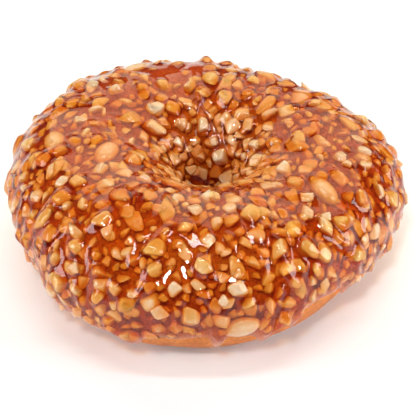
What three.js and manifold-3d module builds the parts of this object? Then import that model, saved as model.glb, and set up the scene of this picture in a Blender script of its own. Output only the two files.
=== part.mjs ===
// A ring doughnut, 102 mm across, with its top and most of its side under a thick coat of
// caramel full of chopped peanuts. Two solids: the fried dough ring, and the coat that sits
// on it like a cap with a hole. Millimetres, +Z up, resting on z = 0.
import * as THREE from "three";
import { mergeVertices } from "three/addons/utils/BufferGeometryUtils.js";
import Module from "manifold-3d";

// ---- Driving dimensions ----------------------------------------------------------------
const DOUGH_RADIUS = 45.3; // mean outer radius of the bare dough
const HOLE_RADIUS = 8.2; // of the dough at the throat, before the coat narrows it
const BELLY_HEIGHT = 15.2; // height at which the dough is widest
const SECTION_RISE = 17; // from there up to the crest
const SECTION_DROP = 16.6; // and down, past the floor, where the base is flat
const HOLE_AXIS = [0.5, 1.2]; // the hole isn't quite in the middle of the outline

// The outline is out of round: each swell adds size * cos(order * (angle - at)).
const SWELLS = [
  { order: 1, size: 2.3, at: 207 },
  { order: 2, size: 1.4, at: -21 },
  { order: 3, size: 2.1, at: 9 },
  { order: 4, size: 0.5, at: 10 },
  { order: 5, size: 0.7, at: 14 },
];
// The crest isn't level either.
const CREST_SWELLS = [
  { order: 1, size: 0.4, at: 156 },
  { order: 2, size: 0.4, at: 61 },
  { order: 3, size: 0.3, at: 15 },
];

const COAT_DEPTH = 2.3; // of the caramel over the dough
const RIM_DEPTH = 1.9; // of the caramel at its lower edges
const RIM_SHARE = 0.2; // of the way over the ring, in which the one depth becomes the other
const COAT_GAP = 0.3; // between the two solids
const OUTER_RIM = -13; // section angle of the outer lower edge, 0 being the belly
const INNER_RIM = 207; // and of the edge down in the hole
// The outer edge winds up and down, in degrees, as the outline does in millimetres.
const RIM_WAVES = [
  { order: 4, size: 2, at: 20 },
  { order: 7, size: 2, at: 5 },
  { order: 11, size: 1.5, at: 14 },
];
// In front the edge lies higher, by size degrees at the middle of each lifted stretch.
const RIM_LIFTS = [
  { round: -95, reach: 14, size: 6 },
  { round: -55, reach: 20, size: 10.5 },
];

// The chopped pieces lie in winding rows round the ring, one to a cell.
const NUT_ROWS = 14;
const CELL_WIDTH = 4.7;
const ROW_WINDING = 0.42; // how far a row's edge strays, as a share of the row's width
const WINDS = [5, 8, 13]; // how many times round the ring it strays to and fro, together
const ROW_GAP = 0.14; // share of a row's width left as caramel between two rows
const NUT_RISE = [0.7, 2.3]; // how far the pieces stand out of the caramel
const NUT_TILT = 0.8; // how much a piece's corners differ in height
const NUT_REACH = [0.24, 0.38]; // half a piece's size, as a share of its cell
const NUT_SPIN = 35; // degrees that a piece may be turned either way
const SUNK_SHARE = 0.12; // of the pieces, which lie just under the caramel
const SUNK_RISE = 0.15; // and hardly raise it
const BARE_PATCH = { round: 104, section: 66, size: 9 }; // caramel with no piece in it
const CLEAR_HOLE = 4.9; // nothing reaches nearer to the hole's axis than this

// Half peanuts, each at an angle round the ring and a section angle (90 is the crest).
const HALF_SIZE = [8.6, 5.4, 2.7]; // length, width and height of a half peanut
const HALF_FLOOR = 1.3; // height over the dough at which it is widest
const HALF_FOOT = 0.2; // share of its height that it goes on below there
const HALVES = [
  { round: -80, section: 2, turn: 12 },
  { round: 176, section: 62, turn: 25 },
  { round: 190, section: 96, turn: -30 },
  { round: -118, section: 122, turn: 10 },
  { round: 38, section: 74, turn: -55 },
  { round: -30, section: 70, turn: 70 },
  { round: 120, section: 60, turn: 15 },
];

// Runs of caramel below the outer edge: where, how long and how wide.
const DRIPS = [
  { round: -87, length: 8, width: 3.2 },
  { round: -72, length: 9, width: 4.4 },
  { round: -63, length: 6.5, width: 3.4 },
  { round: -40, length: 6, width: 5 },
  { round: -112, length: 6, width: 4.6 },
  { round: -143, length: 6.5, width: 3.4 },
  { round: 24, length: 5.5, width: 4 },
  { round: 96, length: 6.2, width: 4.4 },
  { round: 158, length: 5.6, width: 3.6 },
];
const DRIP_DEPTH = 1.5; // how far a run stands out of the dough

const COLUMNS = 60; // facets round the dough
const DOUGH_ROWS = 18; // and round its section

// ---- The shape of the ring -------------------------------------------------------------
const RAD = Math.PI / 180;
const swell = (waves, angle) =>
  waves.reduce((sum, w) => sum + w.size * Math.cos(w.order * (angle - w.at * RAD)), 0);

// A section of the ring at one angle: its middle radius, half width and crest height.
function section(angle) {
  const outer = DOUGH_RADIUS + swell(SWELLS, angle);
  return {
    middle: (outer + HOLE_RADIUS) / 2,
    half: (outer - HOLE_RADIUS) / 2,
    rise: SECTION_RISE + swell(CREST_SWELLS, angle),
  };
}

// The point of the dough's surface at an angle round the ring and an angle of its section,
// moved out by a depth, with the outward direction there.
function onRing(angle, across, depth) {
  const { middle, half, rise } = section(angle);
  const tall = Math.sin(across) > 0 ? rise : SECTION_DROP;
  const out = new THREE.Vector2(Math.cos(across) / half, Math.sin(across) / tall).normalize();
  const r = middle + half * Math.cos(across) + out.x * depth;
  const z = BELLY_HEIGHT + tall * Math.sin(across) + out.y * depth;
  const [c, s] = [Math.cos(angle), Math.sin(angle)];
  return {
    point: new THREE.Vector3(HOLE_AXIS[0] + r * c, HOLE_AXIS[1] + r * s, z),
    out: new THREE.Vector3(out.x * c, out.x * s, out.y),
    along: new THREE.Vector3(-s, c, 0),
  };
}

// A repeatable number from 0 to 1 for each pair of numbers and each purpose.
function draw(i, j, purpose) {
  const wave = Math.sin(i * 127.1 + j * 269.5 + purpose * 311.7) * 43758.5453;
  return wave - Math.floor(wave);
}

const between = ([low, high], share) => low + share * (high - low);

// A mesh grown ring by ring: each ring is a closed loop of points, and a strip of triangles
// joins two rings, however many points each has.
class Rings {
  constructor() {
    this.points = [];
    this.faces = [];
  }

  point(place) {
    this.points.push(place.x, place.y, place.z);
    return this.points.length / 3 - 1;
  }

  // Steps along both loops at once, always on the one that lags.
  join(lower, upper) {
    let [a, b] = [0, 0];
    while (a < lower.length || b < upper.length) {
      const [here, there] = [lower[a % lower.length], upper[b % upper.length]];
      const lowerLags = (a + 0.5) * upper.length <= (b + 0.5) * lower.length;
      if (b >= upper.length || (a < lower.length && lowerLags)) {
        a += 1;
        this.faces.push(here, lower[a % lower.length], there);
      } else {
        b += 1;
        this.faces.push(here, upper[b % upper.length], there);
      }
    }
  }

  geometry() {
    const made = new THREE.BufferGeometry();
    made.setAttribute("position", new THREE.Float32BufferAttribute(this.points, 3));
    made.setIndex(this.faces);
    return made;
  }
}

// ---- Solids for the cuts and joins -----------------------------------------------------
const wasm = await Module();
wasm.setup();

function toSolid(geometry) {
  geometry.deleteAttribute("normal");
  geometry.deleteAttribute("uv");
  const merged = mergeVertices(geometry, 1e-4);
  return new wasm.Manifold(
    new wasm.Mesh({
      numProp: 3,
      vertProperties: new Float32Array(merged.getAttribute("position").array),
      triVerts: new Uint32Array(merged.index.array),
    }),
  );
}

function toGeometry(solid) {
  const mesh = solid.getMesh();
  const geometry = new THREE.BufferGeometry();
  geometry.setAttribute("position", new THREE.BufferAttribute(mesh.vertProperties, 3));
  geometry.setIndex(new THREE.BufferAttribute(mesh.triVerts, 1));
  const flat = geometry.toNonIndexed();
  flat.computeVertexNormals();
  return flat;
}

// ---- The dough -------------------------------------------------------------------------
function doughRing(depth) {
  const mesh = new Rings();
  const loops = Array.from({ length: DOUGH_ROWS }, (_, row) =>
    Array.from({ length: COLUMNS }, (_, column) => {
      const across = (2 * Math.PI * (row + 0.5)) / DOUGH_ROWS;
      const { point } = onRing((2 * Math.PI * column) / COLUMNS, across, depth);
      point.z = Math.max(point.z, -depth);
      return mesh.point(point);
    }),
  );
  loops.forEach((loop, row) => mesh.join(loop, loops[(row + 1) % DOUGH_ROWS]));
  return mesh.geometry();
}

// ---- The coat of caramel and chopped peanuts -------------------------------------------
// The coat's cap reaches this far into the dough, and the dough with its gap is cut from it.
const BURIED = -1;

function rimAngle(angle) {
  const lift = RIM_LIFTS.reduce((sum, { round, reach, size }) => {
    const aside = ((angle / RAD - round + 540) % 360) - 180;
    return sum + size * Math.exp(-((aside / reach) ** 4));
  }, 0);
  return (OUTER_RIM + lift + swell(RIM_WAVES, angle)) * RAD;
}

// The section angle at a share of the way from the outer edge to the one in the hole.
function acrossAt(angle, share) {
  const rim = rimAngle(angle);
  return rim + share * (INNER_RIM * RAD - rim);
}

function caramelDepth(share) {
  const edge = Math.min(1, share / RIM_SHARE, (1 - share) / RIM_SHARE);
  return RIM_DEPTH + (COAT_DEPTH - RIM_DEPTH) * Math.sin((edge * Math.PI) / 2);
}

function coatPoint(angle, share, rise) {
  const across = acrossAt(angle, share);
  const { point, out } = onRing(angle, across, caramelDepth(share));
  const room = Math.hypot(point.x - HOLE_AXIS[0], point.y - HOLE_AXIS[1]) - CLEAR_HOLE;
  const inward = -(out.x * Math.cos(angle) + out.y * Math.sin(angle));
  return point.addScaledVector(out, inward > 0 ? Math.min(rise, room / inward) : rise);
}

// The share across at a place counted in rows: the edges between rows wind to and fro, the
// two rims don't.
function winding(angle, rows) {
  const edge = Math.round(rows);
  const inside = Math.min(1, rows / 2, (NUT_ROWS - rows) / 2);
  const sway = WINDS.reduce((sum, order, k) => {
    return sum + Math.sin(order * angle + 2 * Math.PI * draw(edge, k, 20)) / WINDS.length;
  }, 0);
  return (rows + inside * ROW_WINDING * sway) / NUT_ROWS;
}

// The cells of a row of pieces, from its middle's length.
function rowOfCells(row) {
  const middle = onRing(0, acrossAt(0, (row + 0.5) / NUT_ROWS), COAT_DEPTH).point.x - HOLE_AXIS[0];
  const count = Math.round((2 * Math.PI * middle) / CELL_WIDTH);
  return { count, start: ((2 * Math.PI) / count) * draw(row, 0, 1) };
}

function inBarePatch(angle, share) {
  const { round, section: across, size } = BARE_PATCH;
  const spot = onRing(round * RAD, across * RAD, COAT_DEPTH).point;
  return spot.distanceTo(coatPoint(angle, share, 0)) < size;
}

// How far piece (cell, row) stands out of the caramel at its middle.
function riseOf(cell, row, angle, share) {
  if (draw(cell, row, 2) < SUNK_SHARE || inBarePatch(angle, share)) return SUNK_RISE;
  return between(NUT_RISE, draw(cell, row, 3));
}

// The four top corners of the piece in a cell, as numbers of points in the mesh.
function pieceTop(mesh, cell, row, from, to, lowAt, highAt) {
  const spin = NUT_SPIN * RAD * (2 * draw(cell, row, 4) - 1);
  const middle = (from + to) / 2;
  const rise = riseOf(cell, row, middle, (lowAt(middle) + highAt(middle)) / 2);
  return [0, 1, 2, 3].map((corner) => {
    const turn = spin + (corner - 1.5) * (Math.PI / 2);
    const reach = Math.SQRT2 * between(NUT_REACH, draw(cell, row, 5 + corner));
    const u = 0.5 + reach * Math.cos(turn);
    const v = 0.5 + reach * Math.sin(turn);
    const lift = Math.max(rise + NUT_TILT * (draw(cell, row, 9 + corner) - 0.5), 0);
    const angle = from + u * (to - from);
    const share = lowAt(angle) + v * (highAt(angle) - lowAt(angle));
    return mesh.point(coatPoint(angle, share, lift));
  });
}

function coatCap() {
  const mesh = new Rings();
  const loop = (count, start, shareAt, depth) =>
    Array.from({ length: count }, (_, i) => {
      const angle = start + (2 * Math.PI * i) / count;
      return mesh.point(onRing(angle, acrossAt(angle, shareAt(angle)), depth).point);
    });
  let [first, last] = [null, null];
  for (let row = 0; row < NUT_ROWS; row++) {
    const { count, start } = rowOfCells(row);
    const low = row === 0 ? 0 : row + ROW_GAP / 2;
    const high = row === NUT_ROWS - 1 ? NUT_ROWS : row + 1 - ROW_GAP / 2;
    const lowAt = (angle) => winding(angle, low);
    const highAt = (angle) => winding(angle, high);
    const bottom = loop(count, start, lowAt, caramelDepth(low / NUT_ROWS));
    const top = loop(count, start, highAt, caramelDepth(high / NUT_ROWS));
    for (let cell = 0; cell < count; cell++) {
      const next = (cell + 1) % count;
      const from = start + (2 * Math.PI * cell) / count;
      const outer = [bottom[cell], bottom[next], top[next], top[cell]];
      const inner = pieceTop(mesh, cell, row, from, from + (2 * Math.PI) / count, lowAt, highAt);
      mesh.join(outer, inner);
      mesh.faces.push(inner[0], inner[1], inner[2], inner[0], inner[2], inner[3]);
    }
    if (last) mesh.join(last, bottom);
    first ??= bottom;
    last = top;
  }
  const under = [1, 0.5, 0].map((share) => loop(COLUMNS, 0, () => share, BURIED));
  mesh.join(last, under[0]);
  mesh.join(under[0], under[1]);
  mesh.join(under[1], under[2]);
  mesh.join(under[2], first);
  return mesh.geometry();
}

function drip({ round, length, width }) {
  const geometry = new THREE.SphereGeometry(0.5, 7, 5);
  geometry.scale(width, length, 2 * DRIP_DEPTH);
  const angle = round * RAD;
  const reach = length / 2 / SECTION_RISE;
  const { point, out, along } = onRing(angle, rimAngle(angle) - reach / 2, 0);
  const down = new THREE.Vector3().crossVectors(out, along);
  geometry.applyMatrix4(new THREE.Matrix4().makeBasis(along, down, out).setPosition(point));
  return geometry;
}

function halfPeanut({ round, section: across, turn }) {
  const geometry = new THREE.SphereGeometry(0.5, 8, 6);
  const [length, width, height] = HALF_SIZE;
  geometry.rotateX(Math.PI / 2);
  geometry.scale(length, width, 2 * height);
  const places = geometry.getAttribute("position");
  for (let k = 0; k < places.count; k++) {
    places.setZ(k, Math.max(places.getZ(k), -HALF_FOOT * height));
  }
  const { point, out, along } = onRing(round * RAD, across * RAD, HALF_FLOOR);
  const side = new THREE.Vector3().crossVectors(out, along);
  geometry.rotateZ(turn * RAD);
  geometry.applyMatrix4(new THREE.Matrix4().makeBasis(along, side, out).setPosition(point));
  return geometry;
}

// The cap with its halves and drips joined on, less the dough and its gap, as one solid.
function nutCoat() {
  const joined = [...HALVES.map(halfPeanut), ...DRIPS.map(drip)].reduce(
    (sum, piece) => sum.add(toSolid(piece)),
    toSolid(coatCap()),
  );
  const bodies = joined.subtract(toSolid(doughRing(COAT_GAP))).decompose();
  return bodies.reduce((best, body) => (body.volume() > best.volume() ? body : best));
}

// ---- The object ------------------------------------------------------------------------
function named(name, geometry, color, roughness) {
  const material = new THREE.MeshStandardMaterial({ color, roughness, metalness: 0 });
  const mesh = new THREE.Mesh(geometry, material);
  mesh.name = name;
  return mesh;
}

const doughnut = new THREE.Group();
doughnut.add(named("dough_ring", toGeometry(toSolid(doughRing(0))), 0xd9904e, 0.6));
doughnut.add(named("caramel_nut_coat", toGeometry(nutCoat()), 0xb5581c, 0.15));

export default doughnut;
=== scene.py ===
"""A ring doughnut under a thick coat of clear caramel, full of chopped and halved peanuts.

The frame gives the two solids. The dough ring and the coat are made here again at full
detail, from the same formulas and named sizes: a fried dough surface, every piece of
peanut as a mesh of its own form, and the caramel as one clear body that hangs between
the pieces. Sizes are in millimetres up to the point where a mesh is made, in metres.
"""
import math

import bmesh
import bpy
import numpy as np
from mathutils import Matrix, Vector, kdtree, noise


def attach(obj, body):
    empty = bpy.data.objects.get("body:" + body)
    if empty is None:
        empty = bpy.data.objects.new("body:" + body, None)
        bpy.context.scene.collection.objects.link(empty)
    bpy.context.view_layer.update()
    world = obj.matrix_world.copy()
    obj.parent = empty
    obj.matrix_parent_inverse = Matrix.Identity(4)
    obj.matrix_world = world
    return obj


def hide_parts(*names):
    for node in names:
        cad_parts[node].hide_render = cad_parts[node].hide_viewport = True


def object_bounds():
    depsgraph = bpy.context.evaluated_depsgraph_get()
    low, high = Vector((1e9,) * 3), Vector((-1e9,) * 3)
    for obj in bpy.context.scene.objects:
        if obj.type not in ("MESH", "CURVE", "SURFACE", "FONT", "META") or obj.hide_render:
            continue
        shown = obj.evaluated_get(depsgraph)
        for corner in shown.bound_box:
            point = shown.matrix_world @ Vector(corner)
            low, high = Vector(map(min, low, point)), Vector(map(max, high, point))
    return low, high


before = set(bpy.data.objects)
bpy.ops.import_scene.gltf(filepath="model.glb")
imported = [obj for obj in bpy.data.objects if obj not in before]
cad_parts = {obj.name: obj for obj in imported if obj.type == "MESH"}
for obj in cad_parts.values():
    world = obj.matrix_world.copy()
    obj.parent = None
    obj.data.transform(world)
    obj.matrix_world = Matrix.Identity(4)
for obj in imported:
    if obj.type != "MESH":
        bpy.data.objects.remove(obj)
CAD_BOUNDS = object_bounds()

MM = 0.001
CAD_MARGIN = 0.1  # that the fine surfaces keep from the sides of the frame's box
ROOM = np.array(CAD_BOUNDS) / MM + np.array([[CAD_MARGIN], [-CAD_MARGIN]])
SEED = 41

# ---- The ring's shape, as in the frame ---------------------------------------------------
DOUGH_RADIUS = 45.3  # mean outer radius of the bare dough
HOLE_RADIUS = 8.2  # of the dough at the throat
BELLY_HEIGHT = 15.2  # height at which the dough is widest
SECTION_RISE = 17.0  # from there up to the crest
SECTION_DROP = 16.6  # and down, past the floor, where the base is flat
HOLE_AXIS = np.array([0.5, 1.2])

# (order, size, degrees): the outline and the crest are out of round by size * cos(order * a)
SWELLS = [(1, 2.3, 207), (2, 1.4, -21), (3, 2.1, 9), (4, 0.5, 10), (5, 0.7, 14)]
CREST_SWELLS = [(1, 0.4, 156), (2, 0.4, 61), (3, 0.3, 15)]

COAT_DEPTH = 2.3  # of the caramel over the dough
RIM_DEPTH = 1.9  # of the caramel at its lower edges
RIM_SHARE = 0.2  # of the way over the ring, in which the one depth becomes the other
OUTER_RIM = -13.0  # section angle of the outer lower edge, 0 being the belly
INNER_RIM = 207.0  # and of the edge down in the hole
RIM_WAVES = [(4, 2.0, 20), (7, 2.0, 5), (11, 1.5, 14)]
RIM_LIFTS = [(-95, 14, 6), (-55, 20, 10.5)]  # middle, reach and size of where the edge is higher
LIP_WAVES = [(17, 0.35, 1.0), (29, 0.3, 4.0)]  # order, size and phase of its finest waves
CLEAR_HOLE = 4.9  # nothing reaches nearer to the hole's axis than this
LEAST_INWARD = 0.05  # slope towards the axis from which that is looked at

BARE_ROUND, BARE_SECTION, BARE_SIZE = 105, 69, 10.0  # a patch of caramel with no piece in it

# Half peanuts: angle round the ring, section angle, turn, all in degrees
HALF_SIZE = (8.6, 5.4, 2.7)
HALF_FLOOR, HALF_LEAN = 0.75, 0.06  # height of its lowest point over the dough, and its lean
HALF_SPREAD = 5.6  # the length that it counts as where other pieces are thrown
HALF_SLOPES = (0.1, 0.7, 1.7)  # of the three rows of planes on its back
HALVES = [
    (-80, 2, 12),
    (176, 62, 25),
    (190, 96, -30),
    (-118, 122, 10),
    (38, 74, -55),
    (-30, 70, 70),
    (120, 60, 15),
]

# Runs of caramel below the outer edge: angle round the ring, length and width
DRIPS = [
    (-87, 8.0, 3.2),
    (-72, 9.0, 4.4),
    (-63, 6.5, 3.4),
    (-40, 6.0, 5.0),
    (-112, 6.0, 4.6),
    (-143, 6.5, 3.4),
    (24, 5.5, 4.0),
    (96, 6.2, 4.4),
    (158, 5.6, 3.6),
]
DRIP_REACH = 0.75  # of its length that a run hangs below the edge
DRIP_DEPTH = 1.1  # of the caramel in a run
DRIP_FADE = 1.5  # distance over which the caramel takes up that depth
DRIP_SQUARENESS = 2.4  # 2 makes a run a bell, and more makes it a tongue
DRIP_FOOT = 0.1  # the part of it that is twice as wide

# ---- The dough's surface -----------------------------------------------------------------
DOUGH_COLUMNS, DOUGH_ROWS = 420, 150
# Height of its lumps, wrinkles and pores, their sizes along x, y and z, and a shift along z
RELIEFS = [
    (0.28, (9, 9, 5), 0),
    (0.1, (2.6, 2.6, 0.9), 40),
    (0.05, (0.8, 0.8, 0.7), 0),
]
RELIEF_START = 1.0  # degrees above the caramel's outer edge from which it has this relief
RELIEF_FADE = 4.0  # degrees over which that sets in

# How brown the crust is goes by its distance below the caramel's nearer edge, in
# millimetres, which is negative under the caramel.
FARTHEST_UNDER = -13.0  # the least that this distance is taken to be
PALEST, BROWNEST = -12.0, 14.0  # between which the crust goes from palest to brownest
BASE_PALING = 1.2  # how fast it pales beyond that, over the base
PATCH_PAINTED_SHADE = 13.0  # painted shade: how much darker the crust is made under the patch with no piece in it, standing in for the shade on the back slope

# ---- The caramel's surface ---------------------------------------------------------------
FACET = 0.345  # width of its facets
LEAST_COLUMNS = 24  # and at least so many round the hole
NET_DEPTH = 2.0  # over the dough, at which the facets are that wide
PATH_STEPS = 400  # in which its section is measured
CARAMEL_SINK = 0.25  # how far its underside lies in the dough
UNDER_COLUMNS, UNDER_ROWS = 180, 26  # of the underside
EDGE_ROUNDING = 1.3  # distance from its edge at which it is at full depth
EDGE_SHARE = 0.12  # of the section, in which that distance is measured
EDGE_STEPS = 1500  # of the edge, for that
FAR_OFF = 99.0  # and the distance that stands for all others

POOL_SIZE = 11.0  # of the regions in which it stands higher or lower
POOL_LEVEL, POOL_RISE = 0.7, 0.75  # how far over its depth it stands, and how that differs
LOWERED = 0.9  # how much lower it stands in the hole, along its edge and in the bare patch
HOLE_START, HOLE_START_FADE = 0.56, 0.14  # shares of the section from which it is in the hole
HOLE_END, HOLE_END_FADE = 0.98, 0.08  # and up to which, with what it takes to become so

SETTLINGS = 50  # how often it is let settle
SMOOTHINGS = 7  # how often it is evened out after that
CAPILLARY = 0.85  # how far it climbs and sags between pieces
BESIDE = 1.6  # how far beyond a piece it may still be held up by it
NOT_HELD = -10.0  # stands for the height that it is held up to where no piece does so
TOP_FILM = 0.1  # the most that it stands over the highest pieces
# How far over the caramel's level a piece is wetted, the film on it, and the share of the
# pieces for which that is so.
WETTINGS = [
    ((0.1, 0.4), 0.05, 0.14),
    ((0.5, 0.9), 0.06, 0.17),
    ((9, 9), 0.15, 0.13),
    ((9, 9), 0.55, 0.28),
    ((9, 9), 1.00, 0.28),
]
FILM_SPREAD = (0.6, 1.4)  # by which the films differ
HALF_WETTING = (0.35, 0.05)  # of the half peanuts
HOLE_WETTING = (9, 0.2)  # and of all that lies in the hole
HOLE_REACH = 17.0  # which is as far as this from its axis
PACKED = 0.86  # the pieces in the hole lie closer by this

rng = np.random.default_rng(SEED)


# ---- Ring coordinates --------------------------------------------------------------------
def swell(waves, angle):
    return sum(size * np.cos(order * (angle - math.radians(at))) for order, size, at in waves)


def section(angle):
    """Middle radius, half width and crest height of the dough's section at an angle."""
    outer = DOUGH_RADIUS + swell(SWELLS, angle)
    rise = SECTION_RISE + swell(CREST_SWELLS, angle)
    return (outer + HOLE_RADIUS) / 2, (outer - HOLE_RADIUS) / 2, rise


def on_ring(angle, across, depth):
    """Points depth above the dough, and the outward directions there."""
    middle, half, rise = section(angle)
    cos_a, sin_a = np.cos(across), np.sin(across)
    tall = np.where(sin_a > 0, rise, SECTION_DROP)
    length = np.hypot(cos_a / half, sin_a / tall)
    out_r, out_z = cos_a / half / length, sin_a / tall / length
    r = middle + half * cos_a + out_r * depth
    z = BELLY_HEIGHT + tall * sin_a + out_z * depth
    c, s = np.cos(angle), np.sin(angle)
    point = np.stack([HOLE_AXIS[0] + r * c, HOLE_AXIS[1] + r * s, z], axis=-1)
    return point, np.stack([out_r * c, out_r * s, out_z], axis=-1)


def drop_of_drips(angle):
    """How far, in millimetres, the runs of caramel pull the outer edge down."""
    drop = np.zeros_like(angle)
    for at, length, width in DRIPS:
        turn = (angle - math.radians(at) + math.pi) % (2 * math.pi) - math.pi
        aside = turn * DOUGH_RADIUS / (width / 2)
        tongue = np.exp(-np.abs(aside) ** DRIP_SQUARENESS) + DRIP_FOOT * np.exp(-((aside / 2) ** 2))
        drop = np.maximum(drop, DRIP_REACH * length * tongue)
    return drop


def rim_angle(angle):
    """Section angle of the caramel's outer edge."""
    lip = sum(size * np.sin(order * angle + phase) for order, size, phase in LIP_WAVES)
    plain = OUTER_RIM + swell(RIM_WAVES, angle)
    for middle, reach, size in RIM_LIFTS:
        aside = (np.degrees(angle) - middle + 540) % 360 - 180
        plain = plain + size * np.exp(-((aside / reach) ** 4))
    return np.radians(plain) + (lip - drop_of_drips(angle)) / SECTION_RISE


def across_at(angle, share):
    """Section angle at a share of the way from the outer edge to the one in the hole."""
    rim = rim_angle(angle)
    return rim + share * (math.radians(INNER_RIM) - rim)


def caramel_depth(share):
    edge = np.clip(np.minimum(share, 1 - share) / RIM_SHARE, 0, 1)
    return RIM_DEPTH + (COAT_DEPTH - RIM_DEPTH) * np.sin(edge * math.pi / 2)


def keep_hole_clear(angle, across, depth):
    """The depth, less where it would close the hole."""
    point, out = on_ring(angle, across, depth * 0)
    room = np.hypot(*(point[..., :2] - HOLE_AXIS).T).T - CLEAR_HOLE
    inward = -(out[..., 0] * np.cos(angle) + out[..., 1] * np.sin(angle))
    most = room / np.maximum(inward, LEAST_INWARD)
    return np.where(inward > LEAST_INWARD, np.minimum(depth, most), depth)


# ---- Meshes ------------------------------------------------------------------------------
def new_mesh(name, points, faces):
    """An object from points in millimetres and an array of triangles or quads."""
    mesh = bpy.data.meshes.new(name)
    faces = np.asarray(faces, dtype=np.int32)
    corners = faces.shape[1]
    mesh.vertices.add(len(points))
    mesh.vertices.foreach_set("co", (np.asarray(points) * MM).astype(np.float32).ravel())
    mesh.loops.add(faces.size)
    mesh.loops.foreach_set("vertex_index", faces.ravel())
    mesh.polygons.add(len(faces))
    mesh.polygons.foreach_set("loop_start", np.arange(0, faces.size, corners, dtype=np.int32))
    mesh.polygons.foreach_set("use_smooth", np.full(len(faces), True))
    mesh.update(calc_edges=True)
    piece = bpy.data.objects.new(name, mesh)
    bpy.context.scene.collection.objects.link(piece)
    return piece


def paint(piece, name, values):
    """Stores a number for each vertex under a name that a material reads."""
    store = piece.data.attributes.new(name, "FLOAT", "POINT")
    store.data.foreach_set("value", np.asarray(values, dtype=np.float32))


def zip_loops(lower, upper, faces):
    """Triangles between two closed loops of vertex numbers, on the loop that lags."""
    a = b = 0
    many, more = len(lower), len(upper)
    while a < many or b < more:
        here, there = lower[a % many], upper[b % more]
        if b >= more or (a < many and (a + 0.5) * more <= (b + 0.5) * many):
            a += 1
            faces.append((here, lower[a % many], there))
        else:
            b += 1
            faces.append((here, upper[b % more], there))


# ---- Dough -------------------------------------------------------------------------------
def dough_relief(points, bareness):
    """Fine wrinkles and shallow lumps where the dough is bare."""
    rise = np.zeros(len(points))
    for i in np.flatnonzero(bareness > 0):
        x, y, z = points[i]
        rise[i] = bareness[i] * sum(
            height * noise.noise(Vector((x / long, y / wide, z / tall + shift)))
            for height, (long, wide, tall), shift in RELIEFS
        )
    return rise


def crust_tone_and_patch_shade(points, turn, rim):
    """How brown the crust is, from the section angles of its points and of the outer edge, with
    painted shade added under the patch with no piece in it.
    """
    from_outer = rim - np.where(turn < 90, turn, turn - 360)
    from_inner = np.where(turn < 90, turn + 360, turn) - INNER_RIM
    below = np.minimum(from_outer, from_inner) * SECTION_RISE * math.pi / 180
    paling = BASE_PALING * np.maximum(below - BROWNEST, 0)
    # Painted shade: the crust under the patch with no piece in it is made darker, standing in for
    # the shade on the back slope.
    from_patch = np.linalg.norm(points - bare_spot(0), axis=1)
    patch_shade = PATCH_PAINTED_SHADE * np.exp(-((from_patch / BARE_SIZE) ** 2))
    return np.clip(below, FARTHEST_UNDER, BROWNEST) - paling + patch_shade


def make_dough():
    angle = np.arange(DOUGH_COLUMNS) * 2 * math.pi / DOUGH_COLUMNS
    across = (np.arange(DOUGH_ROWS) + 0.5) * 2 * math.pi / DOUGH_ROWS
    angles, acrosses = [m.ravel() for m in np.meshgrid(angle, across)]
    flat = np.zeros(len(angles))
    points, out = on_ring(angles, acrosses, flat)
    turn = np.degrees(acrosses)
    turn = np.where(turn > 270, turn - 360, turn)
    rim = np.degrees(rim_angle(angles))
    outer_bare = np.clip((rim + RELIEF_START - turn) / RELIEF_FADE, 0, 1)
    inner_bare = np.clip((turn - INNER_RIM) / RELIEF_FADE, 0, 1)
    bareness = np.where(turn < 90, outer_bare, inner_bare)
    points = points + out * dough_relief(points, bareness)[:, None]
    # The base is flat.
    points[:, 2] = np.maximum(points[:, 2], 0)
    index = np.arange(len(angles)).reshape(DOUGH_ROWS, DOUGH_COLUMNS)
    right, up = np.roll(index, -1, axis=1), np.roll(index, -1, axis=0)
    corner = np.roll(right, -1, axis=0)
    faces = np.stack([index, right, corner, up], axis=-1).reshape(-1, 4)
    dough = new_mesh("dough", points, faces)
    # The crust attribute holds the crust's browning and the painted shade under the bare patch.
    paint(dough, "crust", crust_tone_and_patch_shade(points, turn, rim))
    return dough


# ---- Pieces of peanut --------------------------------------------------------------------
def unit(v):
    return v / np.linalg.norm(v, axis=-1, keepdims=True)


def rotation(axis, angle):
    return np.array(Matrix.Rotation(angle, 3, Vector(axis)))


def tilted(normals, most):
    """The same directions, each leant over a little."""
    return unit(normals + rng.uniform(-most, most, normals.shape))


def ball(steps):
    """Directions spread evenly all round, and the triangles that join them."""
    body = bmesh.new()
    bmesh.ops.create_icosphere(body, subdivisions=steps, radius=1)
    ways = np.array([v.co[:] for v in body.verts])
    faces = np.array([[v.index for v in f.verts] for f in body.faces])
    body.free()
    return unit(ways), faces


FINE, COARSE = ball(3), ball(2)  # of 320 and of 80 triangles


class Form:
    """A convex body about 1 long, cut by planes, with its edges rounded.

    It is where the sum of (x . cut) ** sharpness over the planes in front is at most 1, so
    that a high sharpness gives flat faces with crisp edges and a low one a pebble.
    """

    def __init__(self, normals, offsets, sharpness, net=FINE):
        self.cuts = unit(normals) / np.asarray(offsets)[:, None]
        self.sharpness = sharpness
        ways, self.faces = net
        shrunk = self.level(ways)[0] / (ways @ self.cuts.T).max(axis=1)
        self.cuts = self.cuts / np.median(shrunk)
        level, self.shade = self.level(ways)
        self.points = ways / level[:, None]

    def level(self, points):
        """1 on the surface and more outside, with its slope."""
        beyond = np.maximum(points @ self.cuts.T, 0)
        level = (beyond ** self.sharpness).sum(axis=-1) ** (1 / self.sharpness)
        shares = (beyond / level[..., None]) ** (self.sharpness - 1)
        return level, shares @ self.cuts


SIDES = np.array([[1, 0, 0], [-1, 0, 0], [0, 1, 0], [0, -1, 0], [0, 0, 1], [0, 0, -1.0]])
FACE_REACH = (0.38, 0.52)  # distance of a cut face from the middle of a piece 1 long


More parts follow.
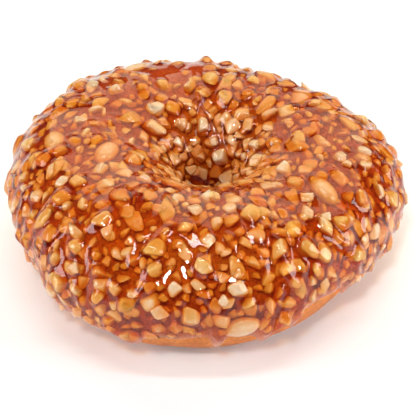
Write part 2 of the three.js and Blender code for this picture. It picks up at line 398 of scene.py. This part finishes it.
def block():
    """Six uneven cut faces, and three to five corners gone."""
    corners = rng.integers(3, 6)
    gone = unit(rng.choice([-1.0, 1.0], (corners, 3)) * rng.uniform(0.3, 1.0, (corners, 3)))
    reach = 0.5 * np.abs(gone).sum(axis=1) * rng.uniform(0.55, 0.85, corners)
    normals = np.vstack([tilted(SIDES, 0.42), gone])
    return Form(normals, np.append(rng.uniform(*FACE_REACH, 6), reach), sharpness=6.5)


def wedge():
    """Two long faces that meet in an edge, cut off at the ends."""
    slope = rng.uniform(0.5, 0.9)
    sides = np.array([[1, 0, 0], [-1, 0, 0], [0, slope, 1], [0, -slope, 1], [0, 0, -1.0]])
    extra = unit(rng.uniform(-1, 1, (2, 3)))
    normals = np.vstack([tilted(unit(sides), 0.22), extra])
    offsets = [0.5, 0.45, 0.26, 0.3, 0.3, 0.42, 0.45] * rng.uniform(0.85, 1.1, 7)
    return Form(normals, offsets, sharpness=7)


def shard():
    """Part of a half peanut: a round back, flat below, cut across once or twice."""
    around = rng.uniform(0, 1) + np.arange(6) * math.pi / 3
    lower = np.stack([np.cos(around), np.sin(around), np.full(6, 0.25)], axis=1)
    half = around[::2] + 0.5
    upper = np.stack([np.cos(half), np.sin(half), np.full(3, 1.15)], axis=1)
    backs = unit(np.vstack([lower, upper, [[0, 0, 1]]]))
    spin = rng.uniform(0, 2 * math.pi)
    ends = spin + np.array([0, rng.uniform(2.0, 3.8)])
    cuts = np.stack([np.cos(ends), np.sin(ends), rng.uniform(-0.2, 0.5, 2)], axis=1)
    normals = np.vstack([tilted(backs, 0.08), unit(cuts), [[0, 0, -1.0]]])
    offsets = np.concatenate([np.full(10, 0.5), rng.uniform(0.12, 0.4, 2), [0.2]])
    return Form(normals, offsets, sharpness=8)


def crumb():
    """A small piece with few faces."""
    normals = unit(np.vstack([tilted(SIDES[[0, 2, 3, 4, 5]], 0.4), [[-1, 0.3, 0.3]]]))
    return Form(normals, rng.uniform(*FACE_REACH, 6), sharpness=6, net=COARSE)


PARALLEL = 1e-9  # a line that meets a plane less squarely than this misses it
STEPS_BACK = 7  # from the planes to the rounded surface
LEAST_STEEP = 0.02  # slope of the surface along the line, below which it misses
ON_SURFACE = 1.03  # level up to which the last step counts as a hit


class Piece:
    """A form at its size and place."""

    def __init__(self, form, size, turn, centre):
        self.form, self.size, self.turn, self.centre = form, np.asarray(size), turn, centre
        self.reach = np.linalg.norm(form.points * self.size, axis=1).max()

    def points(self):
        return self.centre + (self.form.points * self.size) @ self.turn.T

    def stain(self):
        """1 where the caramel stands and less above it, down to 0 where the piece is clean."""
        return np.clip(1 - (self.points() - self.waterline) @ self.up / STAIN_RISE, 0, 1)

    def shade(self):
        return unit(self.form.shade / self.size) @ self.turn.T

    def top_along(self, starts, ways):
        """How far along each line it leaves this piece, or -inf where it misses."""
        starts = (starts - self.centre) @ self.turn / self.size
        ways = ways @ self.turn / self.size
        facing = ways @ self.form.cuts.T
        gap = 1 - starts @ self.form.cuts.T
        with np.errstate(divide="ignore", invalid="ignore"):
            along = np.where(facing > PARALLEL, gap / facing, np.inf).min(axis=1)
        # From the plane that it leaves by, steps back to the rounded surface.
        hits = np.ones(len(along), dtype=bool)
        for _ in range(STEPS_BACK):
            level, slope = self.form.level(starts + along[:, None] * ways)
            steep = (slope * ways).sum(axis=1)
            hits &= steep > LEAST_STEEP
            along = along - np.where(hits, (level - 1) / np.maximum(steep, LEAST_STEEP), 0)
        return np.where(hits & (level < ON_SURFACE), along, -np.inf)


def lay(form, size, angle, across, floor, spin, lean):
    """Lays a form on the dough: floor is the height of its lowest point."""
    point, out = on_ring(np.array([angle]), np.array([across]), np.zeros(1))
    along = np.array([-math.sin(angle), math.cos(angle), 0])
    base = np.stack([along, np.cross(out[0], along), out[0]], axis=1)
    way = rng.uniform(0, 2 * math.pi)
    leaning = rotation((math.cos(way), math.sin(way), 0), lean)
    turn = base @ leaning @ rotation((0, 0, 1), spin)
    piece = Piece(form, size, turn, point[0])
    rim = rim_angle(np.array([angle]))
    share = (across - rim) / (math.radians(INNER_RIM) - rim)
    piece.up = out[0]
    level = max(caramel_level(point, np.array([angle]), share)[0], LEAST_STAINED)
    piece.waterline = point[0] + out[0] * level
    heights = (piece.points() - point[0]) @ out[0]
    piece.centre = point[0] + out[0] * (floor - heights.min())
    piece.top = floor - heights.min() + heights.max()
    return piece


# Each layer of chopped pieces: the height of their lowest points over the dough, then for
# each size how many are thrown, their lengths, and how close two may lie as a share of
# their mean length.
LAYERS = [
    ((0.4, 1.1), [(2500, (3.2, 4.2), 1.1), (8000, (2.5, 3.3), 0.97), (12000, (1.7, 2.5), 0.92)]),
    ((1.0, 1.7), [(900, (3.4, 4.2), 1.5), (5000, (2.6, 3.4), 1.32), (6000, (1.6, 2.5), 1.4)]),
]
MOST_TOP = 4.4  # no piece stands higher than this over the dough
SMALL = 2.3  # pieces shorter than this are crumbs
STAIN = 0.55  # how much darker, on the scale of the roast, the caramel makes a piece
LEAST_STAINED = 2.9  # and it has stained them at least this high over the dough
STAIN_RISE = 1.5  # how far over the caramel it stains a piece
ROAST, ROAST_SPREAD = 0.18, 0.16  # mean tone of the pieces on that scale, and how it differs

FORMS = {
    "peanut_blocks": block,
    "peanut_wedges": wedge,
    "peanut_shards": shard,
    "peanut_crumbs": crumb,
}
FORMS_OF_A_KIND = 24
KIND_SHARES = {"peanut_blocks": 0.44, "peanut_wedges": 0.2, "peanut_shards": 0.36}
WIDTHS, THICKNESSES = (0.68, 0.95), (0.55, 0.8)  # of a piece, as shares of its length
LEAN = 0.35  # radians by which a piece commonly leans over
LYING_FLOOR, LYING_LEAN = 0.1, 0.1  # of a piece that would otherwise stand too high

STREWN_HEIGHT = 1.5  # over the dough, at which the distance between two pieces is taken
EDGE_ROOM, EDGE_GAP = 0.4, 0.2  # kept from the edge: a share of the length, and a distance
FULL_RADIUS = 50.0  # at which every throw counts, and fewer do nearer to the hole's axis
BARE_CLEARED = 0.97  # share of the pieces that is taken off the bare patch
SECTION_LENGTH = 70.0  # over the coat from one rim to the other
DEEPEST_SHARE = 0.99  # of that, beyond which no pieces lie
DEEP_SHARE, DEEP_KEPT = 0.82, 0.25  # of that, beyond which few pieces lie, and how many
LOW_SHARE = 0.1  # of that, in which the pieces are lower and smaller towards the outer rim
LOW_SIZE, LOW_GAIN = 0.7, 0.3  # their size at the rim, and what they gain up to there


def bare_spot(depth):
    """The middle of the patch with no piece in it, depth over the dough."""
    point, _ = on_ring(*np.radians([[BARE_ROUND], [BARE_SECTION]]), np.array([depth]))
    return point


def in_bare_patch(points):
    return np.linalg.norm(points - bare_spot(COAT_DEPTH), axis=-1) < BARE_SIZE


def thrown_places(count):
    """Places strewn evenly over the coat, fewer down in the hole.

    For each its angle, section angle and share, how far the edge is pulled down there, and
    its point.
    """
    angle = rng.uniform(0, 2 * math.pi, count)
    share = rng.uniform(0.0, DEEPEST_SHARE, count)
    across = across_at(angle, share)
    point, _ = on_ring(angle, across, np.full(count, STREWN_HEIGHT))
    r = np.hypot(*(point[:, :2] - HOLE_AXIS).T)
    keep = rng.uniform(0, 1, count) < r / FULL_RADIUS
    keep &= ~(in_bare_patch(point) & (rng.uniform(0, 1, count) < BARE_CLEARED))
    keep &= (share < DEEP_SHARE) | (rng.uniform(0, 1, count) < DEEP_KEPT)
    return angle[keep], across[keep], share[keep], drop_of_drips(angle[keep]), point[keep]


def strew(throws):
    """Chooses the place and length of every chopped piece of a layer, the largest first."""
    chosen = []
    centres = [half_centre(h) for h in HALVES]
    spreads = [HALF_SPREAD] * len(HALVES)
    for count, lengths, close in throws:
        for angle, across, share, drop, point in zip(*thrown_places(count)):
            length = rng.uniform(*lengths)
            if share * SECTION_LENGTH < EDGE_ROOM * length + EDGE_GAP + drop:
                continue
            gap = np.linalg.norm(np.array(centres) - point, axis=1)
            packed = PACKED if math.dist(point[:2], HOLE_AXIS) < HOLE_REACH else 1
            if (gap < packed * close * (length + np.array(spreads)) / 2).any():
                continue
            centres.append(point)
            spreads.append(length)
            chosen.append((angle, across, share, length))
    return chosen


def half_centre(half):
    at, across, _ = half
    angle = np.array([math.radians(at)])
    point, _ = on_ring(angle, np.radians([across]), np.array([STREWN_HEIGHT]))
    return point[0]


def make_pieces():
    """Every chopped piece of peanut, in a list for each kind."""
    forms = {name: [make() for _ in range(FORMS_OF_A_KIND)] for name, make in FORMS.items()}
    kinds = {name: [] for name in FORMS}
    for (low, high), throws in LAYERS:
        for angle, across, share, length in strew(throws):
            kind = rng.choice(list(KIND_SHARES), p=list(KIND_SHARES.values()))
            if length < SMALL:
                kind = "peanut_crumbs"
            size = length * np.array([1.0, rng.uniform(*WIDTHS), rng.uniform(*THICKNESSES)])
            form = forms[kind][rng.integers(FORMS_OF_A_KIND)]
            spin = rng.uniform(0, 2 * math.pi)
            lean = abs(rng.normal(0, LEAN))
            floor = rng.uniform(low, high)
            if share < LOW_SHARE:
                floor *= share / LOW_SHARE
                size *= LOW_SIZE + LOW_GAIN * share / LOW_SHARE
            piece = lay(form, size, angle, across, floor, spin, lean)
            if piece.top > MOST_TOP:
                piece = lay(form, size, angle, across, LYING_FLOOR, spin, LYING_LEAN)
            points = piece.points()
            if (points > ROOM[0]).all() and (points < ROOM[1]).all():
                kinds[kind].append(piece)
    return kinds


def make_halves():
    pieces = []
    for half in HALVES:
        angle, across, spin = map(math.radians, half)
        pieces.append(lay(half_form(), HALF_SIZE, angle, across, HALF_FLOOR, spin, HALF_LEAN))
    return pieces


def half_form():
    """A whole half peanut: round on its back, flat below."""
    around = np.arange(12) * math.pi / 6
    flat = [np.cos(around), np.sin(around)]
    rows = [np.stack([*flat, np.full(12, slope)], axis=1) for slope in HALF_SLOPES]
    backs = unit(np.vstack([*rows, [[0, 0, 1]]]))
    offsets = np.linalg.norm(backs * (0.5, 0.5, 0.8), axis=1)
    return Form(np.vstack([backs, [[0, 0, -1.0]]]), np.append(offsets, 0.2), sharpness=16)


def join_pieces(name, pieces, roasts):
    """One object of many pieces, each a closed surface with its own tone of roast and stain."""
    counts = [len(p.form.points) for p in pieces]
    starts = np.cumsum([0, *counts[:-1]])
    points = np.concatenate([p.points() for p in pieces])
    faces = np.concatenate([p.form.faces + start for p, start in zip(pieces, starts)])
    made = new_mesh(name, points, faces)
    made.data.normals_split_custom_set_from_vertices(np.concatenate([p.shade() for p in pieces]))
    stains = np.concatenate([p.stain() for p in pieces])
    paint(made, "roast", np.repeat(roasts, counts) + STAIN * stains)
    return made


# ---- Caramel -----------------------------------------------------------------------------
def caramel_net():
    """Angles and shares of the caramel's vertices, ring by ring, and its triangles."""
    start = across_at(np.zeros(1), np.zeros(1))[0]
    path = np.linspace(start, math.radians(INNER_RIM), PATH_STEPS)
    points, _ = on_ring(np.zeros(PATH_STEPS), path, np.zeros(PATH_STEPS))
    length = np.linalg.norm(np.diff(points, axis=0), axis=1).sum()
    rings = int(length / FACET)
    angles, shares, loops, faces = [], [], [], []
    total = 0
    for ring in range(rings + 1):
        share = ring / rings
        across = across_at(np.zeros(1), np.array([share]))
        point, _ = on_ring(np.zeros(1), across, np.array([NET_DEPTH]))
        radius = point[0, 0] - HOLE_AXIS[0]
        count = max(LEAST_COLUMNS, int(2 * math.pi * radius / FACET))
        angles.append((np.arange(count) + 0.5 * (ring % 2)) * 2 * math.pi / count)
        shares.append(np.full(count, share))
        loops.append(range(total, total + count))
        total += count
    for lower, upper in zip(loops, loops[1:]):
        zip_loops(lower, upper, faces)
    return np.concatenate(angles), np.concatenate(shares), loops, faces


def search_tree(points):
    tree = kdtree.KDTree(len(points))
    for i, point in enumerate(points):
        tree.insert(point, i)
    tree.balance()
    return tree


def edge_distance(points, share):
    """Distance of each point near the outer edge from that edge, in millimetres."""
    angle = np.linspace(0, 2 * math.pi, EDGE_STEPS, endpoint=False)
    edge, _ = on_ring(angle, rim_angle(angle), np.zeros(EDGE_STEPS))
    tree = search_tree(edge)
    distance = np.full(len(points), FAR_OFF)
    for i in np.flatnonzero(share < EDGE_SHARE):
        distance[i] = tree.find(points[i])[2]
    return distance


def neighbours(faces, count):
    """Pairs of joined vertices, both ways, and how many each vertex has."""
    tri = np.asarray(faces)
    pairs = np.vstack([tri[:, [0, 1]], tri[:, [1, 2]], tri[:, [2, 0]]])
    pairs = np.unique(np.sort(pairs, axis=1), axis=0)
    a = np.concatenate([pairs[:, 0], pairs[:, 1]])
    b = np.concatenate([pairs[:, 1], pairs[:, 0]])
    return a, b, np.bincount(a, minlength=count)


def caramel_level(base, angle, share):
    """The level that the caramel would stand at with no pieces in it."""
    pools = np.array([noise.noise(Vector(p / POOL_SIZE)) for p in base])
    inside = np.clip((share - HOLE_START) / HOLE_START_FADE, 0, 1)
    inside = inside * np.clip((HOLE_END - share) / HOLE_END_FADE, 0, 1)
    low_down = np.clip(1 - share / LOW_SHARE, 0, 1)
    hollow = np.exp(-((np.linalg.norm(base - bare_spot(0), axis=1) / BARE_SIZE) ** 2))
    level = caramel_depth(share) + POOL_LEVEL + POOL_RISE * pools
    level += -LOWERED * inside - LOWERED * low_down - LOWERED * hollow
    on_drip = np.clip((drop_of_drips(angle) - share * SECTION_LENGTH) / DRIP_FADE, 0, 1)
    return level + on_drip * (DRIP_DEPTH - level)


def held_up(pieces, base, out, level):
    """How high the pieces hold the caramel up by a film, each as far as it is wetted."""
    tree = search_tree(base)
    held = np.full(len(base), NOT_HELD)
    for piece, wetted, film in pieces:
        found = np.array([i for _, i, _ in tree.find_range(piece.centre, piece.reach + BESIDE)])
        if len(found):
            top = piece.top_along(base[found], out[found]) + film
            held[found] = np.maximum(held[found], np.minimum(top, level[found] + wetted))
    return np.where(held > level, held, NOT_HELD)


def settled(level, held, faces):
    """The height that the caramel takes up between its own level and what holds it up."""
    total = len(level)
    a, b, many = neighbours(faces, total)
    pull = (FACET / CAPILLARY) ** 2 / 4
    height = np.maximum(level, held)
    for _ in range(SETTLINGS):
        mean = np.bincount(a, weights=height[b], minlength=total) / many
        height = np.maximum((mean + pull * level) / (1 + pull), held)
    for _ in range(SMOOTHINGS):
        mean = np.bincount(a, weights=height[b], minlength=total) / many
        height = 0.5 * height + 0.5 * mean
    return height


def close_below(top_points, loops, faces):
    """Adds the underside, which lies in the dough, and gives the points of the closed body."""
    points = [top_points]
    last = loops[-1]
    total = len(top_points)
    around = np.arange(UNDER_COLUMNS) * 2 * math.pi / UNDER_COLUMNS
    depth = np.full(UNDER_COLUMNS, -CARAMEL_SINK)
    for share in np.linspace(1, 0, UNDER_ROWS):
        across = across_at(around, np.full(UNDER_COLUMNS, share))
        ring, _ = on_ring(around, across, depth)
        points.append(ring)
        loop = range(total, total + UNDER_COLUMNS)
        zip_loops(last, loop, faces)
        last = loop
        total += UNDER_COLUMNS
    zip_loops(last, loops[0], faces)
    return np.concatenate(points)


def make_caramel(pieces):
    angle, share, loops, faces = caramel_net()
    across = across_at(angle, share)
    base, out = on_ring(angle, across, np.zeros(len(angle)))
    inner = (1 - share) * SECTION_LENGTH
    edge = np.minimum(edge_distance(base, share), inner) / EDGE_ROUNDING
    rounding = np.sqrt(np.clip(1 - (1 - np.clip(edge, 0, 1)) ** 2, 0, 1))
    level = caramel_level(base, angle, share) * rounding

    height = settled(level, held_up(pieces, base, out, level), faces)
    height = np.minimum(height, MOST_TOP + TOP_FILM)
    height = keep_hole_clear(angle, across, height)
    ends = np.concatenate([loops[0], loops[-1]])
    height[ends] = -CARAMEL_SINK / 2
    top_points, _ = on_ring(angle, across, height)
    points = close_below(np.clip(top_points, *ROOM), loops, faces)
    return new_mesh("caramel", points, faces)


# ---- Materials ---------------------------------------------------------------------------
class Nodes:
    """A material's node tree, with short ways to add and join its nodes."""

    def __init__(self, name):
        self.material = bpy.data.materials.new(name)
        self.material.use_nodes = True
        self.tree = self.material.node_tree
        self.tree.nodes.clear()
        self.output = self.tree.nodes.new("ShaderNodeOutputMaterial")

    def add(self, kind, inputs=None, **settings):
        node = self.tree.nodes.new(kind)
        for key, value in settings.items():
            setattr(node, key, value)
        for key, value in (inputs or {}).items():
            if isinstance(value, bpy.types.NodeSocket):
                self.tree.links.new(value, node.inputs[key])
            else:
                node.inputs[key].default_value = value
        return node

    def noise(self, scale, detail=3.0, roughness=0.5):
        """Noise of a scale in metres."""
        place = self.add("ShaderNodeTexCoord").outputs["Object"]
        made = self.add(
            "ShaderNodeTexNoise",
            {"Vector": place, "Scale": 1 / scale, "Detail": detail, "Roughness": roughness},
        )
        return made.outputs["Fac"]

    def ramp(self, fac, stops):
        node = self.add("ShaderNodeValToRGB", {"Fac": fac})
        ramp = node.color_ramp
        while len(ramp.elements) < len(stops):
            ramp.elements.new(0.5)
        for element, (place, colour) in zip(ramp.elements, stops):
            element.position = place
            element.color = (*colour, 1)
        return node.outputs["Color"]

    def remap(self, value, low, high, to_low=0.0, to_high=1.0):
        inputs = {
            "Value": value,
            "From Min": low,
            "From Max": high,
            "To Min": to_low,
            "To Max": to_high,
        }
        return self.add("ShaderNodeMapRange", inputs).outputs["Result"]

    def math(self, operation, a, b):
        return self.add("ShaderNodeMath", {0: a, 1: b}, operation=operation).outputs[0]

    def mix(self, fac, a, b):
        node = self.add("ShaderNodeMix", data_type="RGBA")
        for socket, value in zip((node.inputs[0], node.inputs[6], node.inputs[7]), (fac, a, b)):
            if isinstance(value, bpy.types.NodeSocket):
                self.tree.links.new(value, socket)
            else:
                socket.default_value = value if isinstance(value, float) else (*value, 1)
        return node.outputs[2]

    def attribute(self, name):
        return self.add("ShaderNodeAttribute", attribute_name=name).outputs["Fac"]

    def bump(self, height, distance, strength=1.0, over=None):
        inputs = {"Height": height, "Distance": distance, "Strength": strength}
        if over is not None:
            inputs["Normal"] = over
        return self.add("ShaderNodeBump", inputs).outputs["Normal"]

    def finish(self, surface, volume=None):
        self.tree.links.new(surface, self.output.inputs["Surface"])
        if volume is not None:
            self.tree.links.new(volume, self.output.inputs["Volume"])
        return self.material


def dough_material():
    n = Nodes("fried_dough")
    crust = n.attribute("crust")
    blotch = n.noise(0.006, 3)
    fine = n.noise(0.0009, 4, 0.6)
    # The crust attribute read here carries the painted shade under the bare patch as well as the
    # browning.
    depth = n.remap(crust, PALEST, BROWNEST)
    colour = n.ramp(
        n.math("ADD", depth, n.remap(blotch, 0.3, 0.7, -0.12, 0.12)),
        [
            (0.0, (0.95, 0.62, 0.28)),
            (0.33, (0.78, 0.34, 0.10)),
            (0.46, (0.76, 0.30, 0.085)),
            (0.53, (0.86, 0.30, 0.075)),
            (0.63, (0.80, 0.25, 0.055)),
            (0.78, (0.62, 0.18, 0.045)),
            (1.0, (0.34, 0.10, 0.028)),
        ],
    )
    speckled = n.mix(n.remap(fine, 0.42, 0.66, 0.0, 0.7), colour, (0.42, 0.13, 0.03))
    skin = n.bump(n.noise(0.0007, 5, 0.6), 0.00012, 0.6)
    shader = n.add(
        "ShaderNodeBsdfPrincipled",
        {
            "Base Color": speckled,
            "Roughness": 0.6,
            "Specular IOR Level": 0.25,
            "Normal": skin,
            "Subsurface Weight": 0.12,
            "Subsurface Radius": (0.0015, 0.0007, 0.0003),
            "Subsurface Scale": 1.0,
        },
    )
    return n.finish(shader.outputs[0])


def peanut_material():
    n = Nodes("roasted_peanut")
    roast = n.attribute("roast")
    patches = n.remap(n.noise(0.0016, 3), 0.3, 0.7, -0.15, 0.15)
    colour = n.ramp(
        n.math("ADD", roast, patches),
        [
            (0.0, (0.80, 0.65, 0.46)),
            (0.35, (0.78, 0.495, 0.275)),
            (0.7, (0.77, 0.37, 0.14)),
            (1.0, (0.75, 0.255, 0.05)),
        ],
    )
    uneven = n.bump(n.noise(0.0014, 2, 0.5), 0.0004, 0.5)
    grain = n.bump(n.noise(0.0004, 3, 0.6), 0.00006, 0.5, uneven)
    shader = n.add(
        "ShaderNodeBsdfPrincipled",
        {
            "Base Color": colour,
            "Roughness": 0.32,
            "Normal": grain,
            "Specular IOR Level": 0.35,
            "Subsurface Weight": 0.35,
            "Subsurface Radius": (0.0009, 0.0006, 0.0003),
            "Subsurface Scale": 1.0,
            "Coat Weight": 1.0,
            "Coat Roughness": 0.03,
        },
    )
    return n.finish(shader.outputs[0])


CARAMEL_LOSS = (52.0, 262.0, 920.0)  # absorption of red, green and blue, per metre


def caramel_material():
    """A clear body that lets light pass straight on to what lies in it."""
    n = Nodes("clear_caramel")
    glass = n.add(
        "ShaderNodeBsdfPrincipled",
        {
            "Base Color": (1, 1, 1, 1),
            "Roughness": 0.03,
            "IOR": 1.46,
            "Transmission Weight": 1.0,
        },
    )
    clear = n.add("ShaderNodeBsdfTransparent")
    path = n.add("ShaderNodeLightPath")
    lets = n.math("MAXIMUM", path.outputs["Is Shadow Ray"], path.outputs["Is Diffuse Ray"])
    both = n.add("ShaderNodeMixShader", {0: lets, 1: glass.outputs[0], 2: clear.outputs[0]})
    density = max(CARAMEL_LOSS)
    inside = n.add(
        "ShaderNodeVolumeAbsorption",
        {"Color": (*(1 - loss / density for loss in CARAMEL_LOSS), 1), "Density": density},
    )
    return n.finish(both.outputs[0], inside.outputs[0])


def floor_material():
    n = Nodes("pale_floor")
    tint = n.mix(n.remap(n.noise(0.05, 2), 0.3, 0.7), (0.90, 0.93, 0.95), (0.92, 0.95, 0.97))
    shader = n.add(
        "ShaderNodeBsdfPrincipled",
        {
            "Base Color": tint,
            "Roughness": 0.6,
            "Emission Color": (1, 1, 1, 1),
            "Emission Strength": 0.12,
        },
    )
    return n.finish(shader.outputs[0])


# ---- Studio, in metres -------------------------------------------------------------------
VIEW_ELEVATION = 40.0
VIEW_DISTANCE = 0.5
VIEW_TARGET = Vector((0.00075, 0.0012, 0.0131))
LENS = 171.2

# Soft rectangular lights: name, place, size, brightness and colour
WHITE = (1, 1, 1)
PANELS = [
    ("back_panel", (0.1, 0.95, 0.82), (2.3, 1.15), 1.75, (0.98, 0.94, 0.7)),
    ("left_box", (-0.62, -0.16, 0.27), (0.27, 0.36), 6.6, WHITE),
    ("right_box", (0.62, -0.16, 0.27), (0.31, 0.36), 7.0, WHITE),
    ("key_light", (-0.1, -0.52, 0.74), (0.105, 0.105), 75.0, WHITE),
    ("top_panel", (0, -0.12, 1.1), (0.6, 0.08), 18.0, WHITE),
]
PANEL_TARGET = Vector((0, 0, 0.02))
WORLD_BRIGHTNESS = 0.08
FLOOR_REACH = 3000  # of the floor to each side, in millimetres
FLOOR_CORNERS = np.array([[-1, -1, 0], [1, -1, 0], [1, 1, 0], [-1, 1, 0.0]]) * FLOOR_REACH


def make_camera():
    camera = bpy.data.objects.new("camera", bpy.data.cameras.new("camera"))
    camera.data.lens = LENS
    camera.data.sensor_width = 36
    camera.data.clip_start = 0.01
    up = math.radians(VIEW_ELEVATION)
    camera.location = VIEW_TARGET + VIEW_DISTANCE * Vector((0, -math.cos(up), math.sin(up)))
    camera.rotation_euler = (math.pi / 2 - up, 0, 0)
    bpy.context.scene.collection.objects.link(camera)
    bpy.context.scene.camera = camera


def add_panel(name, place, size, brightness, colour):
    """A soft rectangular light of an even brightness, facing the doughnut."""
    light = bpy.data.lights.new(name, "AREA")
    light.shape = "RECTANGLE"
    light.size, light.size_y = size
    light.color = colour
    light.energy = brightness * math.pi * size[0] * size[1]
    panel = bpy.data.objects.new(name, light)
    panel.location = place
    way = PANEL_TARGET - Vector(place)
    panel.rotation_euler = way.to_track_quat("-Z", "Y").to_euler()
    panel.visible_camera = False
    bpy.context.scene.collection.objects.link(panel)


def make_studio():
    scene = bpy.context.scene
    scene.view_settings.view_transform = "Standard"
    scene.cycles.use_denoising = True
    scene.cycles.max_bounces = 16
    scene.cycles.diffuse_bounces = 8
    scene.cycles.transmission_bounces = 12
    scene.cycles.transparent_max_bounces = 24
    scene.cycles.caustics_reflective = False
    scene.cycles.caustics_refractive = False
    world = bpy.data.worlds.new("studio")
    world.use_nodes = True
    background = world.node_tree.nodes["Background"]
    background.inputs["Color"].default_value = (1, 1, 1, 1)
    background.inputs["Strength"].default_value = WORLD_BRIGHTNESS
    scene.world = world
    for panel in PANELS:
        add_panel(*panel)
    floor = new_mesh("floor", FLOOR_CORNERS, [[0, 1, 2, 3]])
    floor.data.materials.append(floor_material())


# ---- The doughnut ------------------------------------------------------------------------
def dress(piece, material, slot, *nodes):
    piece.data.materials.append(material)
    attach(piece, "root")
    for node in nodes:
        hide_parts(node)


def wetting(name, piece):
    """How high a piece is wetted, and by how thick a film."""
    if name == "peanut_halves":
        return HALF_WETTING
    if math.dist(piece.centre[:2], HOLE_AXIS) < HOLE_REACH:
        return HOLE_WETTING
    kind = rng.choice(len(WETTINGS), p=[w[2] for w in WETTINGS])
    wetted, film, _ = WETTINGS[kind]
    return rng.uniform(*wetted), film * rng.uniform(*FILM_SPREAD)


def make_doughnut():
    dress(make_dough(), dough_material(), "dough", "dough_ring")
    kinds = make_pieces()
    kinds["peanut_halves"] = make_halves()
    peanut = peanut_material()
    for name, pieces in kinds.items():
        roasts = np.clip(rng.normal(ROAST, ROAST_SPREAD, len(pieces)), 0, 1)
        made = join_pieces(name, pieces, roasts)
        dress(made, peanut, "nuts", "caramel_nut_coat")
        print(name, len(pieces), "pieces,", len(made.data.polygons), "triangles")
    caramel = make_caramel(
        [(piece, *wetting(name, piece)) for name, pieces in kinds.items() for piece in pieces]
    )
    print("caramel", len(caramel.data.polygons), "triangles")
    dress(caramel, caramel_material(), "caramel", "caramel_nut_coat")


make_camera()
make_studio()
make_doughnut()
